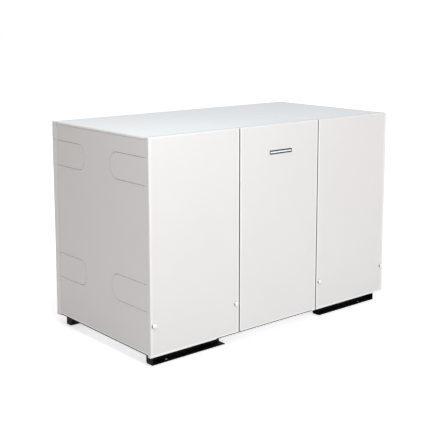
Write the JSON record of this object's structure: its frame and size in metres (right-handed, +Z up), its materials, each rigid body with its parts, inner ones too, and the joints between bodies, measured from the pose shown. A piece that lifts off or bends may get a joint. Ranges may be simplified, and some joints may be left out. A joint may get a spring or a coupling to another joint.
{
  "type": "ground source heat pump",
  "caption": "Floor-standing ground source heat pump: white sheet-steel cabinet on black rails, tilting lift-off doors with quarter-turn locks, refrigerant circuits and rear pipe stubs.",
  "frame": {"origin": "centre of the bounding box, on the floor", "axes": "+X to the right along the doors, +Y from the doors to the rear, +Z up"},
  "size_m": [1.45, 0.788, 0.96],
  "materials": {
    "door_paint": "satin white powder coat",
    "panel_paint": "satin white powder coat",
    "rail_paint": "satin black paint",
    "galvanised": "galvanised sheet",
    "zinc": "zinc plated",
    "foam": "open-cell damping foam",
    "seal": "closed-cell foam strip",
    "cap_plastic": "white moulded cap",
    "compressor_paint": "black enamel",
    "exchanger_steel": "brazed stainless plate",
    "copper": "drawn copper",
    "valve_brass": "forged brass",
    "pipe_steel": "black painted steel pipe",
    "box_steel": "light grey paint",
    "grey_plastic": "moulded plastic",
    "dark_plastic": "moulded plastic",
    "red_plastic": "moulded plastic",
    "rubber": "moulded rubber"
  },
  "bodies": {
    "cabinet": {"rail_front_left": "rail_paint", "rail_front_right": "rail_paint", "rail_rear_left": "rail_paint", "rail_rear_right": "rail_paint", "rail_bolts": "zinc", "base_pan": "galvanised", "front_posts": "galvanised", "rear_posts": "galvanised", "mullions": "galvanised", "top_rail_front": "galvanised", "top_rail_rear": "galvanised", "top_bars": "galvanised", "side_panel_left": "panel_paint", "side_panel_right": "panel_paint", "side_linings": "foam", "rear_panel": "panel_paint", "rear_screws": "zinc", "top_panel_left": "panel_paint", "top_panel_middle": "panel_paint", "top_panel_right": "panel_paint", "door_seals": "seal", "lock_receptacles": "zinc", "control_box": "box_steel", "control_box_cover": "box_steel", "cover_screws": "zinc", "main_switch": "dark_plastic", "contactors": "dark_plastic", "terminal_blocks": "grey_plastic", "control_unit": "grey_plastic", "cable_glands": "dark_plastic", "compressor_left": "compressor_paint", "compressor_right": "compressor_paint", "compressor_feet": "rubber", "evaporator_left": "exchanger_steel", "evaporator_right": "exchanger_steel", "condenser_left": "exchanger_steel", "condenser_right": "exchanger_steel", "exchanger_stands": "galvanised", "brine_in_header": "pipe_steel", "brine_out_header": "pipe_steel", "heating_flow_header": "pipe_steel", "heating_return_header": "pipe_steel", "suction_pipes": "copper", "discharge_pipes": "copper", "liquid_pipes": "copper", "filter_driers": "copper", "expansion_valves": "valve_brass"},
    "door_left": {"door_left": "door_paint", "door_lining_left": "foam"},
    "door_middle": {"door_middle": "door_paint", "door_lining_middle": "foam"},
    "door_right": {"door_right": "door_paint", "door_lining_right": "foam"},
    "lock_left_outer": {"lock_left_outer": "cap_plastic"},
    "lock_left_inner": {"lock_left_inner": "cap_plastic"},
    "lock_right_inner": {"lock_right_inner": "cap_plastic"},
    "lock_right_outer": {"lock_right_outer": "cap_plastic"},
    "main_switch_handle": {"main_switch_handle": "red_plastic"},
    "drain_lever_brine": {"drain_lever_brine": "red_plastic"},
    "drain_lever_heating": {"drain_lever_heating": "red_plastic"}
  },
  "joints": [
    {"name": "door_left_tilt", "type": "hinge", "parent": "cabinet", "child": "door_left", "pos_m": [-0.4833, -0.362, 0.95], "axis": [-1, 0, 0], "range_deg": [0, 15]},
    {"name": "door_middle_tilt", "type": "hinge", "parent": "cabinet", "child": "door_middle", "pos_m": [0, -0.362, 0.95], "axis": [-1, 0, 0], "range_deg": [0, 15]},
    {"name": "door_right_tilt", "type": "hinge", "parent": "cabinet", "child": "door_right", "pos_m": [0.4833, -0.362, 0.95], "axis": [-1, 0, 0], "range_deg": [0, 15]},
    {"name": "lock_left_outer_turn", "type": "hinge", "parent": "door_left", "child": "lock_left_outer", "pos_m": [-0.707, -0.386, 0.185], "axis": [0, 1, 0], "range_deg": [0, 90]},
    {"name": "lock_left_inner_turn", "type": "hinge", "parent": "door_left", "child": "lock_left_inner", "pos_m": [-0.26217, -0.386, 0.185], "axis": [0, 1, 0], "range_deg": [0, 90]},
    {"name": "lock_right_inner_turn", "type": "hinge", "parent": "door_right", "child": "lock_right_inner", "pos_m": [0.26217, -0.386, 0.185], "axis": [0, 1, 0], "range_deg": [0, 90]},
    {"name": "lock_right_outer_turn", "type": "hinge", "parent": "door_right", "child": "lock_right_outer", "pos_m": [0.707, -0.386, 0.185], "axis": [0, 1, 0], "range_deg": [0, 90]},
    {"name": "main_switch_turn", "type": "hinge", "parent": "cabinet", "child": "main_switch_handle", "pos_m": [0.13, -0.3273, 0.79], "axis": [0, 1, 0], "range_deg": [0, 90]},
    {"name": "drain_lever_brine_turn", "type": "hinge", "parent": "cabinet", "child": "drain_lever_brine", "pos_m": [-0.06, 0.24145, 0.1378], "axis": [0, 0, 1], "range_deg": [0, 90]},
    {"name": "drain_lever_heating_turn", "type": "hinge", "parent": "cabinet", "child": "drain_lever_heating", "pos_m": [0.06, 0.24145, 0.2378], "axis": [0, 0, 1], "range_deg": [0, 90]}
  ]
}
